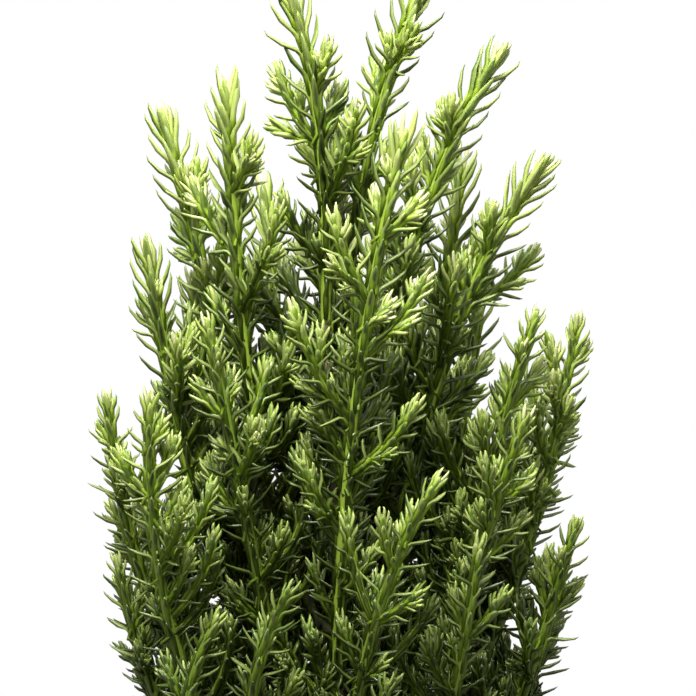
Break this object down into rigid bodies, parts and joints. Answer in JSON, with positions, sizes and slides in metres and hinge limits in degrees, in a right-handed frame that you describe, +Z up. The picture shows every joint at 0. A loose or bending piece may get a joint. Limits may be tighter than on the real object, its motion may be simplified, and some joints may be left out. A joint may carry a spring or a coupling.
{
  "type": "potted lawson cypress",
  "caption": "Young upright Lawson cypress with soft juvenile needles, in a plain round nursery pot that it stands on.",
  "frame": {"origin": "centre of the pot's flat underside, on the surface that it stands on", "axes": "+Z up along the pot's axis; -Y is the plant's front, the side that the picture shows; +X is to the right in that view"},
  "size_m": [0.0982, 0.0986, 0.2542],
  "materials": {
    "pot": "matt moulded polypropylene, near black",
    "soil": "dark peat and bark compost, crumbly and matt",
    "bark": "young brown bark, finely ridged, matt",
    "foliage": "soft green needles with a slight waxy sheen"
  },
  "bodies": {
    "root": {"bough_back_121_1": "bark", "bough_back_121_3": "bark", "bough_back_143_1": "bark", "bough_back_143_2": "bark", "bough_back_156_1": "bark", "bough_far_right": "bark", "bough_front_main": "bark", "bough_left_back_spire": "bark", "bough_left_front": "bark", "bough_left_high": "bark", "bough_left_middle": "bark", "bough_left_spire": "bark", "bough_low_centre": "bark", "bough_right_arm": "bark", "bough_right_spire": "bark", "bough_twin_leader": "bark", "foliage_back_121_1": "foliage", "foliage_back_121_2": "foliage", "foliage_back_121_3": "foliage", "foliage_back_143_1": "foliage", "foliage_back_143_2": "foliage", "foliage_back_156_1": "foliage", "foliage_back_44_1": "foliage", "foliage_back_44_2": "foliage", "foliage_back_44_3": "foliage", "foliage_back_44_4": "foliage", "foliage_back_70_1": "foliage", "foliage_back_70_2": "foliage", "foliage_back_70_3": "foliage", "foliage_back_70_4": "foliage", "foliage_back_96_1": "foliage", "foliage_back_96_2": "foliage", "foliage_back_96_3": "foliage", "foliage_back_96_4": "foliage", "foliage_far_right": "foliage", "foliage_front_main": "foliage", "foliage_leader": "foliage", "foliage_left_back_spire": "foliage", "foliage_left_edge": "foliage", "foliage_left_front": "foliage", "foliage_left_high": "foliage", "foliage_left_middle": "foliage", "foliage_left_spire": "foliage", "foliage_low_centre": "foliage", "foliage_low_front": "foliage", "foliage_low_left": "foliage", "foliage_low_left_edge": "foliage", "foliage_low_left_front": "foliage", "foliage_low_right_edge": "foliage", "foliage_right_arm": "foliage", "foliage_right_front": "foliage", "foliage_right_high": "foliage", "foliage_right_middle": "foliage", "foliage_right_spire": "foliage", "foliage_skirt_left": "foliage", "foliage_skirt_right": "foliage", "foliage_twin_leader": "foliage", "pot": "pot", "soil": "soil", "trunk": "bark"}
  },
  "joints": []
}
